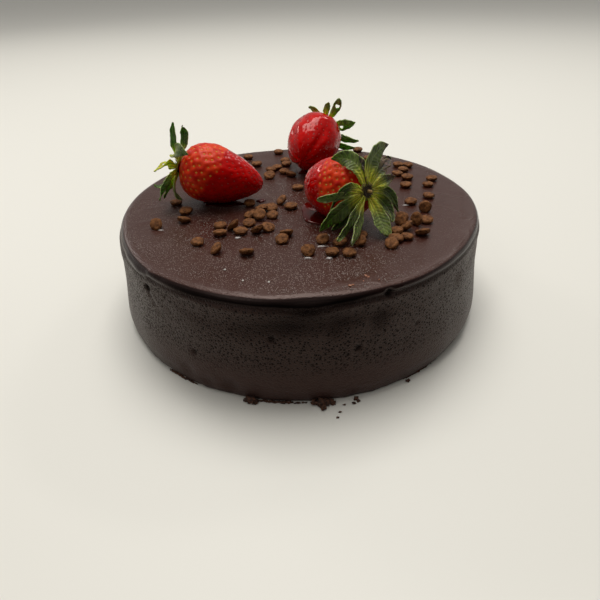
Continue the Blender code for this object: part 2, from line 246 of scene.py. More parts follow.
# for each turn in degrees: mm that the lip's upper edge and its lower edge stand out. The lip is
# sharp where the glaze overhangs and round where it ran over, with a break at -134.
LIP_FORM = (
    (-180, -1, -0.2), (-163, -1.2, -0.3), (-152, -1, 0), (-145, -0.6, 0.7), (-138, -0.2, 1.3),
    (-135, 0, 1), (-133, 0.5, 0), (-128, -0.4, 0.1), (-119, -0.9, 0.1), (-110, -1, 0),
    (-98, -1.1, 0.3), (-88, -2, 0.6), (-78, -1.1, 0.1), (-73, -0.7, -0.3), (-68, -0.4, -0.4),
    (-63, 0.4, 0), (-57, 0.8, 0.1), (-45, 0.5, 0.2), (-38, 0.1, 0.1), (-25, -0.3, 0),
    (0, -0.6, -0.2), (20, -1.2, 0.4), (40, -0.4, -0.6), (58, 0.2, -0.9), (80, -0.9, 0.1),
    (100, -1.4, 0.5), (120, -0.3, -0.5), (140, 0.2, -0.9), (160, -0.8, 0.2), (180, -1, -0.2),
)
LIP_UPPER = (46.8 * MM, 49.6 * MM)
LIP_LOWER = (45.6 * MM, 47.2 * MM)
FOOT_TUCK = 1.5 * MM
FOOT_TUCK_TURN = radians(-15)
FOOT_TUCK_HEIGHT = 8 * MM
# the turned profile, top to bottom: (mm past RIM_RADIUS, height in mm)
SIDE_PROFILE = (
    (-5, 50.7), (-3, 50.6), (-1.8, 50.35), (-1, 50.05), (-0.65, 49.8), (-0.4, 49.4), (-0.2, 49),
    (0, 48.4), (-0.2, 47.7), (-0.45, 47.2), (-0.45, 46.8), (-0.15, 46.3), (0.25, 45.7), (0.5, 44.9),
    (0.6, 43), (0.75, 40), (0.9, 37), (1.1, 30), (2, 20), (3.2, 9), (3.1, 5.5), (2.9, 3),
    (2.4, 0.8), (1.5, 0),
)
GLAZE_TURNS = 720
TOP_STEP = 2.4  # mm between rows on top, down the lip and down the wall
LIP_STEP = 0.32
SIDE_STEP = 0.8
LIP_END = 44.0  # height in mm where the lip's fine rows end
UNDERSIDE_RINGS = (0.97, 0.75, 0.5, 0.25, 0.0)
WALL_TOP = 49 * MM  # the wall's relief ends here, under the lip
WALL_SWELL = 0.45 * MM  # slow unevenness of the wall, and its lengths across and down
SWELL_ACROSS, SWELL_DOWN = 16 * MM, 34 * MM
WALL_GRAIN = 0.06 * MM  # orange peel
GRAIN_ACROSS, GRAIN_DOWN = 2.2 * MM, 1.8 * MM
FOOT_RAGGED = 0.5 * MM
TOP_RIPPLE = 0.16 * MM
GLAZE_BROWN = (0.042, 0.0095, 0.0045)
# painted shade: the lip's face under the rim is coloured near black
LIP_SHADE_BROWN = (0.01, 0.0022, 0.0018)
WALL_BROWN = (0.028, 0.0119, 0.0078)
WALL_SIDE_SHEEN = (0.085, 0.072, 0.062)  # painted sheen: greyish light on the left and right of the wall, seen at a grazing angle
# painted shade: the near black of pits, dents and shaded patches
PAINTED_SHADE_BROWN = (0.003, 0.0012, 0.0009)
FOOT_BROWN = (0.038, 0.015, 0.011)
# painted glint: the pale of the mist droplets on the top
MIST_GLINT_PALE = (0.23, 0.17, 0.145)
SPONGE_DARK, SPONGE_LIGHT = (0.03, 0.012, 0.007), (0.115, 0.045, 0.022)
DENT_SHADE_HEIGHTS = (14 * MM, 20 * MM)  # dents are painted with shade above these heights
PORES, PINHOLES, DROPLETS = 640.0, 1150.0, 1250.0  # in one metre
# swells and hollows of the wall: (turn and height of the middle, half width in degrees, half
# height and mm outwards, and mm that it climbs for each degree to the right)
WALL_SWELLS = (
    (-123, 46.5, 13, 1.3, 0.45, 0), (-107, 44.8, 9, 1.5, 0.3, 0), (-93, 44, 9, 1.6, 0.2, 0),
    (-79, 45.2, 9, 1.4, 0.35, 0.2), (-115, 38, 9, 3.4, -0.45, -0.2), (-98, 37.5, 9, 3.4, -0.6, 0),
    (-82, 39.5, 8, 3.2, -0.6, 0.1), (-68, 40, 5, 3, -0.4, 0), (-127, 36.5, 3, 2.6, -0.35, -0.5),
    (-53, 39.5, 6, 2.8, -0.25, 0.3), (-76, 29, 12, 5, 0.3, 0), (-112, 27, 10, 5, 0.3, 0),
    (-148, 44, 8, 2.4, 0.4, 0), (-160, 37, 8, 4, -0.4, 0.2), (-30, 40, 8, 3, -0.4, 0.2),
    (-12, 44.5, 10, 2, 0.4, 0), (10, 38.5, 8, 3, -0.6, 0), (34, 44, 9, 2, 0.4, 0.1),
    (52, 38, 8, 3, -0.6, -0.2), (76, 44.5, 9, 2, 0.4, 0), (95, 38.5, 8, 3, -0.7, 0.1),
    (118, 44, 9, 2, 0.4, 0), (138, 38, 8, 3, -0.6, -0.2), (163, 44.5, 9, 2, 0.4, 0),
)
# painted shade patches, where the glaze is coloured nearly black in the hollows under the lip
# and on the wall: (turn and height of the middle, half width in degrees, half height in mm, how dark from 0
# to 1)
PAINTED_SHADE_PATCHES = (
    (-93, 39, 9, 5.2, 0.9), (-88.5, 45, 5.5, 2.8, 0.85), (-80.5, 39.6, 5.5, 4.2, 0.7),
    (-104, 37.4, 8, 4.4, 0.5), (-70, 40.2, 6, 4.2, 0.5), (-118, 36.5, 7, 4.4, 0.28),
    (-95, 48.3, 21, 1.5, 0.95), (-109, 48.9, 10, 1.3, 0.9), (-119, 47.9, 8, 1.3, 0.8),
    (-79, 48, 8, 1.7, 0.95), (-134.3, 41.2, 1.5, 1.8, 0.6), (-20, 40, 9, 4.5, 0.6),
    (12, 39, 9, 4.5, 0.7), (22, 48, 16, 1.5, 0.9), (53, 38.5, 8, 4, 0.6), (92, 39.5, 10, 5, 0.75),
    (97, 48.2, 20, 1.5, 0.9), (140, 38.5, 9, 4.5, 0.7), (-162, 38.5, 8, 4.5, 0.6),
    (-166, 48, 14, 1.5, 0.9),
)
# long low waves of the top near the rim: (x, y of the middle, way its crest runs in degrees, half
# length, half width, height), in mm
TOP_WAVES = (
    (-73, -20, 25, 9, 1.6, 0.2), (-70, -28, 20, 7, 1.2, 0.16), (-77, -6, 35, 8, 1.5, 0.2),
    (-64, -12, 60, 6, 1.6, -0.22), (-60, -34, 10, 5, 1.4, 0.12), (-69, 8, 70, 7, 1.6, 0.16),
    (72, -31, 55, 8, 1.3, 0.14), (74, -46, 50, 7, 1.2, 0.12), (66, -50, 35, 6, 1.5, -0.12),
    (20, -80, 10, 11, 1, 0.4), (27, -76, 20, 7, 0.9, 0.35), (33, -72, 25, 5, 0.8, 0.25),
    (-10, -80, -4, 14, 1.6, 0.12), (30, 80, -20, 9, 1.6, 0.16), (-50, 62, 40, 9, 1.8, 0.16),
    (75, 40, -55, 8, 1.5, 0.15),
)
# dents in the wall: (turn in degrees, height, radius, depth in mm), first those that the front
# shows, then the ones on the sides and the back
WALL_DENTS = (
    (-134.7, 41.4, 1.4, 1.9), (-134, 38.2, 1.5, 0.5), (-132.6, 35.2, 1.8, 0.35), (-131, 32, 2.2, 0.25),
    (-119.5, 18.5, 1.5, 1.0), (-97.5, 33.0, 1.4, 1.0), (-75.7, 25.9, 1.3, 0.9),
    (-67.4, 47.4, 1.7, 1.2), (-122.7, 7.5, 3.4, 1), (-116, 5.4, 3, 0.6), (-109.4, 6, 3.8, 1.1),
    (-82, 36.5, 4.5, 0.5), (-70, 38, 5.5, 0.6), (-104, 36, 5, 0.4), (-58, 29, 1, 0.5),
    (-40, 38, 4, 0.5), (-21, 22, 1.4, 0.8), (8, 35, 1.6, 1), (27, 12, 3.4, 0.8),
    (49, 41, 1.5, 1.2), (68, 24, 1.4, 0.9), (90, 7, 3.6, 1), (104, 33, 1.6, 1.1),
    (131, 17, 1.3, 0.8), (150, 38, 4.8, 0.5), (171, 29, 1.5, 1), (-163, 9, 3.2, 0.8),
)


def smooth_step(value, low, high):
    ratio = min(max((value - low) / (high - low), 0.0), 1.0)
    return ratio * ratio * (3 - 2 * ratio)


def wander(x, y, z):
    """Smooth random unevenness, about -1 to 1, over lengths of about 1."""
    return noise.noise(Vector((x, y, z)))


def lip_at(turn, height):
    """How far the lip's own form stands out, between the two turns of LIP_FORM beside it."""
    for before, after in zip(LIP_FORM, LIP_FORM[1:]):
        if math.degrees(turn) <= after[0]:
            break
    share = smooth_step(math.degrees(turn), before[0], after[0])
    upper_edge, lower_edge = (b + (a - b) * share for b, a in zip(before[1:], after[1:]))
    upper = smooth_step(height, *LIP_UPPER)
    lower = smooth_step(height, *LIP_LOWER) * (1 - upper)
    return (upper_edge * upper + lower_edge * lower) * MM


def off_true(turn, height):
    """How far the glaze stands outside the turned profile, at an angle from +X and a height."""
    lobes = sum(c * cos(n * turn) + s * sin(n * turn) for n, c, s in RIM_LOBES)
    tuck = FOOT_TUCK * max(0.0, cos(turn - FOOT_TUCK_TURN)) ** 2
    return (lobes * smooth_step(height, *LOBES_FADE) + lip_at(turn, height)
            - tuck * (1 - smooth_step(height, 0.0, FOOT_TUCK_HEIGHT)))


def spread(turn, height, middle_turn, middle_height, wide, high, climb=0.0):
    """1 in the middle of a patch of the wall, fading out over its half width and half height."""
    aside = (math.degrees(turn) - middle_turn + 180) % 360 - 180
    if abs(aside) > 2.5 * wide:
        return 0.0
    return exp(-((aside / wide) ** 2) - ((height / MM - middle_height - climb * aside) / high) ** 2)


# painted shade of the listed patches at a point of the wall, 0 to 1; dry is the share left unshaded
def painted_shade_at(turn, height):
    dry = 1.0
    for *place, dark in PAINTED_SHADE_PATCHES:
        dry *= 1 - dark * spread(turn, height, *place)
    return 1 - dry


def waves_at(x, y):
    """Height of the long low waves of the top, whose crests bend a little."""
    rise = 0.0
    for at_x, at_y, way, half_length, half_width, height in TOP_WAVES:
        off_x, off_y = x / MM - at_x, y / MM - at_y
        if abs(off_x) + abs(off_y) < 3 * half_length:
            run = off_x * cos(radians(way)) + off_y * sin(radians(way))
            aside = off_y * cos(radians(way)) - off_x * sin(radians(way)) + 0.02 * run * run
            rise += height * MM * exp(-((run / half_length) ** 2) - (aside / half_width) ** 2)
    return rise


def dents_at(turn, height):
    depth = 0.0
    for dent_turn, dent_height, radius, dent_depth in WALL_DENTS:
        up_off = height / MM - dent_height
        if abs(up_off) < 3 * radius:
            round_off = ((turn - radians(dent_turn) + pi) % tau - pi) * RIM_RADIUS / MM
            off = (round_off ** 2 + up_off ** 2) / radius ** 2
            if off < 9:
                depth += dent_depth * MM * exp(-off ** 1.3)
    return depth


def wall_relief(turn, height):
    """The wall's swells, grain, dents and the ragged foot, outwards."""
    x, y = cos(turn) * RIM_RADIUS, sin(turn) * RIM_RADIUS
    foot = wander(x / 0.006, y / 0.006, 3.0) + 0.5 * wander(x / 0.002, y / 0.002, 9.0)
    foot *= 1 - smooth_step(height, 0.0, 4 * MM)
    slow = WALL_SWELL * wander(x / SWELL_ACROSS, y / SWELL_ACROSS, height / SWELL_DOWN)
    fine = WALL_GRAIN * wander(x / GRAIN_ACROSS, y / GRAIN_ACROSS, height / GRAIN_DOWN)
    own = sum(out * MM * spread(turn, height, *place, climb) for *place, out, climb in WALL_SWELLS)
    under_lip = 1 - smooth_step(height, 43 * MM, 47 * MM)
    return (slow + fine) * under_lip + own + FOOT_RAGGED * foot - dents_at(turn, height)


def smooth_line(points, step_at):
    """Points along a smooth curve through the given ones, as far apart as step_at says."""
    points = [points[0], *points, points[-1]]
    line = []
    for before, start, end, after in zip(points, points[1:], points[2:], points[3:]):
        count = max(1, round(math.dist(start, end) / step_at(start)))
        for number in range(count):
            t = number / count
            line.append(tuple(
                0.5 * (2 * b + (c - a) * t + (2 * a - 5 * b + 4 * c - d) * t * t
                       + (3 * b - a - 3 * c + d) * t ** 3)
                for a, b, c, d in zip(before, start, end, after)))
    return line + [points[-1]]


def round_body(bm, profile, turns):
    """Bend a grid round +Z into a closed turned body of (radius, height) points, and weld it."""
    rows = len(profile) - 1
    made = bmesh.ops.create_grid(bm, x_segments=turns, y_segments=rows, size=1)["verts"]
    for vertex in made:
        turn = (vertex.co.x + 1) * pi
        radius, height = profile[round((1 - vertex.co.y) / 2 * rows)]
        vertex.co = (radius * cos(turn), radius * sin(turn), height)
    bmesh.ops.remove_doubles(bm, verts=made, dist=0.001 * MM)
    bmesh.ops.recalc_face_normals(bm, faces=bm.faces)


def glaze_finish():
    """Dark chocolate: misted with fine droplets on top, leathery and full of pits on the wall."""
    glaze = new_finish("chocolate glaze")
    times, plus, ramp = glaze.times, glaze.plus, glaze.ramp
    x, y, height = (glaze.axis(glaze.place, name) for name in "XYZ")
    # below the top, the lip is coloured with painted shade
    off_top = ramp(height, 50.25 * MM, 49.85 * MM)
    on_wall = ramp(height, 48 * MM, 45 * MM)
    low_wall = ramp(height, 26 * MM, 8 * MM)
    # pits: pinholes of two sizes, fewer towards the foot and away from the front
    round_wall = times(glaze.maths("ARCTAN2", y, x), RIM_RADIUS)
    unrolled = glaze.node("CombineXYZ", {"X": round_wall, "Y": height})
    pore, luck = glaze.cells(PORES, unrolled)
    pinhole = glaze.cells(PINHOLES, unrolled)[0]
    small = plus(times(luck, 0.17), ramp(glaze.mottle(90.0, 3.0), 0.3, 0.6, 0.07, 0.0))
    pit = glaze.maths("MAXIMUM", ramp(plus(pore, small), 0.385, 0.295),
                      ramp(plus(pinhole, small), 0.38, 0.3, 0.0, 0.6))
    pit = times(pit, ramp(low_wall, 0.0, 1.0, 1.0, 0.15), on_wall, ramp(y, -60 * MM, -25 * MM, 1.0, 0.5))
    # painted shade: the pits and the dents and patches of the wet attribute turn the colour near black and,
    # through Metallic, take away the reflection
    dark = glaze.maths("MAXIMUM", times(pit, 0.72), glaze.attribute("wet"))
    # mist: droplets that stand up on the top, with a painted glint in their pale colour
    droplet, chance = glaze.cells(DROPLETS)
    misted = glaze.mottle(28.0, 2.0)
    mist = times(ramp(droplet, 0.38, 0.1), ramp(chance, 0.35, 0.7), ramp(misted, 0.35, 0.6, 0.4, 1.0),
                 glaze.minus(1.0, off_top))
    leather = times(glaze.mottle(1500.0, 3.0), ramp(on_wall, 0.0, 1.0, 0.25, 0.6))
    relief = plus(glaze.minus(times(mist, 0.4), pit), leather)
    # painted sheen on the left and right of the wall
    aside = ramp(glaze.maths("ABSOLUTE", x), 44 * MM, 80 * MM, 0.0, 0.5)
    colour = glaze.blend(GLAZE_BROWN, (off_top, LIP_SHADE_BROWN), (on_wall, WALL_BROWN), (low_wall, FOOT_BROWN),
                         (times(aside, on_wall), WALL_SIDE_SHEEN), (times(mist, 0.5), MIST_GLINT_PALE),
                         (dark, PAINTED_SHADE_BROWN))
    rough = plus(times(on_wall, 0.12), ramp(misted, 0.3, 0.7, 0.26, 0.34), times(pit, 0.3))
    return glaze.into({
        "Base Color": colour, "Metallic": times(dark, 0.9), "Roughness": rough, "IOR": 1.4,
        "Specular Tint": (1.0, 0.84, 0.78), "Sheen Weight": 0.07, "Sheen Roughness": 0.4,
        "Normal": glaze.bump(relief, 1.0, 0.5 * MM)})


def crumb_finish():
    """Dark moist sponge."""
    sponge = new_finish("sponge")
    holes = sponge.mottle(900.0, 4.0)
    colour = sponge.blend(SPONGE_DARK, (sponge.ramp(holes, 0.35, 0.65), SPONGE_LIGHT))
    relief = sponge.bump(holes, 0.8, 0.3 * MM)
    return sponge.into({"Base Color": colour, "Roughness": 0.85, "Normal": relief})


rim_mm = RIM_RADIUS / MM
top_rings = math.ceil((rim_mm + SIDE_PROFILE[0][0]) / TOP_STEP)
outer = smooth_line(SIDE_PROFILE, lambda point: LIP_STEP if point[1] > LIP_END else SIDE_STEP)
outline = [(ring / top_rings * (rim_mm + outer[0][0]), CAKE_HEIGHT / MM) for ring in range(top_rings)]
outline += [(rim_mm + past, height) for past, height in outer]
outline += [(rim_mm * share, 0.0) for share in UNDERSIDE_RINGS]
bm = bmesh.new()
round_body(bm, [(radius * MM, height * MM) for radius, height in outline], GLAZE_TURNS)
painted_shade_layer = bm.verts.layers.float.new("wet")
for vertex in bm.verts:
    x, y, z = vertex.co
    radius, turn = hypot(x, y), atan2(y, x)
    if radius > RIM_RADIUS / 2:
        outwards = off_true(turn, z)
        if 0 < z < WALL_TOP and radius > RIM_RADIUS - 2 * MM:
            outwards += wall_relief(turn, z)
            # painted shade: dents high on the wall and the listed patches darken the glaze through the
            # vertex attribute named wet
            dent_shade = min(0.9, dents_at(turn, z) / (0.8 * MM)) * smooth_step(z, *DENT_SHADE_HEIGHTS)
            vertex[painted_shade_layer] = max(painted_shade_at(turn, z), dent_shade)
        vertex.co.x *= 1 + outwards / radius
        vertex.co.y *= 1 + outwards / radius
    if z > CAKE_HEIGHT - 0.2 * MM:
        ripple = wander(x / 0.019, y / 0.012, 0.0) + 0.4 * wander(x / 0.006, y / 0.005, 4.0)
        vertex.co.z += TOP_RIPPLE * ripple * smooth_step(radius, 0.0, 20 * MM) + waves_at(x, y)
for face in bm.faces:
    face.material_index = 1 if face.normal.z < -0.7 and face.calc_center_median().z < 0.3 * MM else 0
dress(piece_from("cake_glaze", bm, glaze_finish(), crumb_finish()), replaced=["cake"])

# ---------------- sponge at the foot
# Where the glaze ran out at the foot, brown sponge shows as a torn edge, and a few crumbs came
# loose in front. They are sponge, and each is a small craggy lump.
# (turn in degrees, mm out from RIM_RADIUS, mean radius in mm, length along the foot)
FOOT_CRUMBS = (
    (-103.6, 4, 1.7, 1.4), (-102.2, 4.4, 1, 1), (-104.6, 3.4, 0.9, 1.2), (-85.4, 4.6, 1.9, 1.1),
    (-84.2, 4.2, 1.6, 1), (-85.1, 6.8, 1.2, 0.9), (-87.2, 3.6, 1.3, 1), (-82.9, 3.8, 1.3, 1),
    (-82.3, 4.6, 0.9, 1), (-76.3, 4, 0.9, 1), (-76, 5.4, 0.7, 1), (-77.3, 6.2, 0.6, 1.2),
    (-79.7, 6, 0.35, 1.8), (-81.3, 9.6, 0.35, 1.6), (-82.2, 12.4, 0.4, 1.4), (-60.5, 3.4, 0.8, 1.2),
    (54, 4, 1.2, 1.2), (57, 4.6, 0.8, 1), (118, 3.8, 1.5, 1.3), (-171, 4, 1, 1.2),
)
# torn edges of sponge: from turn to turn in degrees, and how far it stands out in mm
TORN_EDGES = ((-104.5, -89, 3.5), (-62, -50, 1.8), (-131, -120, 3.2), (70, 82, 3.3), (150, 161, 3.2))
TORN_SPACING = 0.55  # degrees
CRUMB_SEED = 3


def around(turn, reach, height):
    """A point or a direction at an angle round +Z."""
    return Vector((reach * cos(turn), reach * sin(turn), height))


def ball(bm, subdivisions):
    return bmesh.ops.create_icosphere(bm, subdivisions=subdivisions, radius=1.0)["verts"]


def move(bm, made, matrix):
    bmesh.ops.transform(bm, matrix=matrix, verts=made)


def lump(bm, place, size, stretch, way, rough, seed):
    """A craggy ball of crumb, drawn out along a direction in the plane of the table."""
    made = ball(bm, 3)
    for vertex in made:
        bumps = noise.noise(vertex.co * 1.6 + Vector((seed, 0, 0)))
        bumps += 0.6 * noise.noise(vertex.co * 4.0 + Vector((0, seed, 0)))
        vertex.co *= 1 + rough * bumps
        vertex.co = Vector((vertex.co.x * stretch, vertex.co.y, vertex.co.z * 0.8)) * size
    move(bm, made, Matrix.Translation(place) @ Matrix.Rotation(way, 4, "Z"))
    for vertex in made:
        vertex.co.z = max(vertex.co.z, 0.02 * MM)


bm = bmesh.new()
for number, (turn, out, size, stretch) in enumerate(FOOT_CRUMBS):
    place = around(radians(turn), RIM_RADIUS + out * MM, 0.72 * size * MM)
    lump(bm, place, size * MM, stretch, radians(turn) + pi / 2, 0.75, 10 + number)
dress(piece_from("foot_crumbs", bm, crumb_finish()))

rng = random.Random(CRUMB_SEED)
bm = bmesh.new()
for start, end, out in TORN_EDGES:
    steps = round((end - start) / TORN_SPACING)
    for number in range(steps + 1):
        turn = radians(start + (end - start) * number / steps + rng.uniform(-0.2, 0.2))
        fade = sin(pi * (number + 0.5) / (steps + 1)) ** 0.4
        radius = RIM_RADIUS + (out - 0.6 + rng.uniform(-0.3, 0.3)) * MM
        size = rng.uniform(0.35, 0.65) * fade * MM
        place = around(turn, radius, 0.75 * size + 0.05 * MM)
        lump(bm, place, size, 1.6, turn + pi / 2, 0.6, start + number)
dress(piece_from("torn_sponge", bm, crumb_finish()))

# ---------------- chocolate drops
# Matt milk chocolate drops for baking, 6 mm across, scattered on the glaze while it was soft.
# Each has a flat face with a dimple and a nub, and a domed back, and is set a little into the glaze.
DROP_RADIUS = 3.1 * MM
DROP_HEIGHT = 3.3 * MM
DROP_SINK = 0.5 * MM
DROP_SEED = 7
DROP_DARK, DROP_LIGHT, DROP_SPECK = (0.05, 0.016, 0.005), (0.24, 0.098, 0.033), (0.04, 0.016, 0.007)
# (x, y) in mm on the cake top, then for a drop that leans: the angle off flat, the way its
# flat face turns, in degrees from +X, and, for one that lies on others, its lift in mm
DROP_GROUPS = {
    "left rim": ((-67, -28, 45, 265), (-55, -22, 24, 60), (-45, -45, 12, 250), (-36, -52.5, 42, 200),
                 (-22.5, -55, 28, 95)),
    "by the left crown": ((-56, -12), (-63, -1)),
    "left heap": ((-37, -29), (-36, -36.5, 18, 95), (-31, -31, 52, 150), (-27, -35)),
    "middle heap": ((-23.5, -27, 10, 260), (-23.5, -18, 20, 200), (-19, -20.5, 30, 265, 0.9),
                    (-13, -19, 15, 250), (-18.5, -10.5, 14, 150), (-13.5, -10.5, 10, 300)),
    "front of the heap": ((-19.5, -35, 40, 130), (-14.5, -32.5, 20, 320), (-6, -38, 26, 100),
                          (-8, -44.5, 18, 250)),
    "between the fruit": ((-25, -4, 8, 270), (-9, -2, 35, 200), (-4, -8.5), (-0.5, 16)),
    "back left": ((-31, 68), (-25, 54.5), (-16, 44.5), (-12.5, 48), (-16.5, 34, 18, 250),
                  (-12.5, 76.5), (-8, 61), (-7, 54), (-8, 41), (-4, 36, 20, 30)),
    "front middle": ((3.5, -56, 30, 265), (13.5, -56.5, 8, 100), (20.5, -57.5), (10, -45.5, 25, 255),
                     (17.5, -48, 15, 200), (27, -42), (26, -48.5, 40, 215)),
    "right heap": ((39.5, -51, 22, 255), (42.5, -45.5), (44, -38), (47.5, -44, 6, 20),
                   (48.5, -35, 35, 160), (47.5, -29, 50, 230), (49, -22), (54, -30, 70, 215),
                   (59.5, -28, 15, 250), (55, -40.5, 28, 105), (61.5, -16, 70, 255), (56.5, -6)),
    "right rim": ((67, 1), (70, 16.5), (74, 25), (61, 27.5), (58, 16)),
    "back right": ((56.5, 34), (61, 40), (65, 47), (59.5, 48), (38.5, 77.5), (43, 61)),
}


def turned(angle, axis="Z"):
    """Rotation in degrees."""
    return Matrix.Rotation(radians(angle), 4, axis)


def drop_finish():
    """Dry, slightly dusty milk chocolate with fine specks."""
    drop = new_finish("drop chocolate")
    dust = drop.mottle(650.0, 5.0, 0.7)
    specks = drop.ramp(drop.cells(1400.0)[0], 0.3, 0.12, 0.0, 0.65)
    colour = drop.blend(DROP_DARK, (drop.ramp(dust, 0.32, 0.68), DROP_LIGHT), (specks, DROP_SPECK))
    return drop.into({"Base Color": colour, "Roughness": 0.7, "IOR": 1.4, "Specular Tint": (1.0, 0.6, 0.4),
                      "Normal": drop.bump(dust, 1.0, 0.4 * MM)})


def chocolate_drop(bm, place, seed, rng):
    """A ball pressed to a lens: the upper face nearly flat with a nub and a dimple, the back domed."""
    x, y, lean, way, lift = (*place, 0, 0, 0)[:5]
    size, dimple = rng.uniform(0.93, 1.07), rng.uniform(0.08, 0.34)
    spin = Matrix.Rotation(rng.uniform(0, tau), 4, "Z")
    tilt = turned(lean + rng.uniform(-4, 4), turned(way) @ Vector((0, 1, 0)))
    made = ball(bm, 4)
    for vertex in made:
        here = vertex.co.copy()
        uneven = 0.13 * wander(here.x * 0.9, here.y * 0.9, seed)
        craggy = 0.1 * noise.noise(here * 2.6 + Vector((0, seed, 0)))
        craggy += 0.08 * noise.noise(here * 6.5 + Vector((seed, 0, 0)))
        if here.z > 0:
            nub = exp(-((here.x - 0.2) ** 2 + here.y ** 2) / 0.06)
            hole = exp(-((here.x + 0.1) / 0.13) ** 2 - ((here.y - 0.05) / 0.2) ** 2)
            rim = exp(-((hypot(here.x, here.y) - 0.75) / 0.1) ** 2)
            high = 0.5 * here.z + 0.14 * nub - dimple * hole + 0.07 * rim
        else:
            high = -1.25 * abs(here.z) ** 0.9
        reach = DROP_RADIUS * size * (1 + uneven + craggy)
        thick = DROP_HEIGHT / 2 * size * (1 + 1.2 * craggy)
        vertex.co = Vector((here.x * reach, here.y * reach, high * thick))
    move(bm, made, tilt @ spin)
    lowest = min(vertex.co.z for vertex in made)
    height = CAKE_HEIGHT - DROP_SINK - lowest + lift * MM
    bmesh.ops.translate(bm, vec=(x * MM, y * MM, height), verts=made)


rng = random.Random(DROP_SEED)
bm = bmesh.new()
for number, place in enumerate(place for places in DROP_GROUPS.values() for place in places):
    chocolate_drop(bm, place, (number + 1) * 3.7, rng)
dress(piece_from("chocolate_drops", bm, drop_finish()), replaced=["cake"])

# ---------------- strawberries
# Three whole strawberries laid on their sides. A clear syrup was brushed over them from the tip:
# under it the fruit is deep red, smooth and wet, and where it stops the skin is orange red with
# pale seeds in open dimples.
Berry = namedtuple("Berry", "middle heading pitch length width taper blunt crease folds syrup_edge bare")
# As the solids: middle in mm, heading and pitch of the crown end in degrees, length, width, taper
# and blunt. crease: depth and turn of the groove over the tip. folds: mm of the shallow folds of
# the skin. syrup_edge: the syrup ends this many mm from the middle towards the crown, and this much
# nearer for each mm higher up. bare: share of the dimples' depth that is left under the syrup.
BERRIES = {
    "left": Berry((-38.3, 1.4, 64.4), 178, 13, 41.5 * MM, 29 * MM, 0.38, 0.9, (0, 0), 0.3,
                  (5, 0.45), 0.6),
    "back": Berry((9, 49, 65.6), 68, 15, 38 * MM, 29.5 * MM, 0.13, 0.83, (2.6 * MM, 42), 0.8,
                  (30, 0), 0.25),
    "right": Berry((18.1, -19.1, 65.3), -49, 11, 35 * MM, 29.2 * MM, 0.14, 0.8, (0, 0), 0.4,
                   (3, 0.2), 0.55),
}
WIDEST = {berry: max(sin(a / 30) ** berry.blunt * (1 + berry.taper * cos(a / 30))
                     for a in range(1, 94)) for berry in BERRIES.values()}
BERRY_TURNS = 176
BERRY_RINGS = 110
SEEDS = 330
GOLDEN_ANGLE = pi * (3 - math.sqrt(5))
DIMPLE_DEPTH = 0.42 * MM
DIMPLE_WIDTH = 0.66 * MM
CUSHION = 0.22 * MM  # how far the skin swells between the dimples
SEED_SIZE = (0.47 * MM, 0.3 * MM, 0.2 * MM)
SEED_STRAW, SEED_SYRUP = (0.66, 0.38, 0.05), (0.34, 0.01, 0.003)
BARE_DEEP, BARE_LIGHT = (0.52, 0.006, 0.002), (0.76, 0.048, 0.004)  # skin in the open
# the floor of each open dimple is painted darker: painted shade in the recess
BARE_RIM, BARE_DIMPLE_SHADE = (0.8, 0.1, 0.008), (0.32, 0.004, 0.001)
SOAKED_DEEP, SOAKED_LIGHT = (0.43, 0.0003, 0.0002), (0.6, 0.0011, 0.0003)
SOAKED_DIMPLE = (0.66, 0.016, 0.003)


def berry_frame(berry):
    """Matrix with +Z along the axis out of the crown end and +X as upright as it can be."""
    heading, pitch = radians(berry.heading), radians(berry.pitch)
    out = around(heading, cos(pitch), sin(pitch))
    upright = (Vector((0, 0, 1)) - out * out.z).normalized()
    return Matrix.Translation(Vector(berry.middle) * MM) @ turn_to(upright, out.cross(upright), out)


def berry_point(berry, along, turn):
    """Point of the smooth skin, along from 0 at the crown end to pi at the tip."""
    outline = max(sin(along), 0.0) ** berry.blunt * (1 + berry.taper * cos(along))
    radius = berry.width / 2 * outline / WIDEST[berry]
    radius *= 1 + 0.012 * sin(2 * turn + 3 * along) + 0.008 * sin(3 * turn)
    depth, crease_turn = berry.crease
    off_crease = (turn - radians(crease_turn) + pi / 2) % pi - pi / 2
    radius -= depth * exp(-((off_crease / 0.22) ** 2)) * max(0.0, -cos(along)) * sin(along)
    return around(turn, radius, berry.length / 2 * cos(along))


def syrup_on(berry, point):
    """0 on bare skin and 1 under the syrup, with an uneven edge."""
    edge, slope = berry.syrup_edge
    uneven = 2.2 * noise.noise(point / 0.007) + 0.8 * noise.noise(point / 0.002)
    past = point.z / MM - (edge - slope * point.x / MM) + uneven
    return 1 - smooth_step(past, -0.9, 0.9)


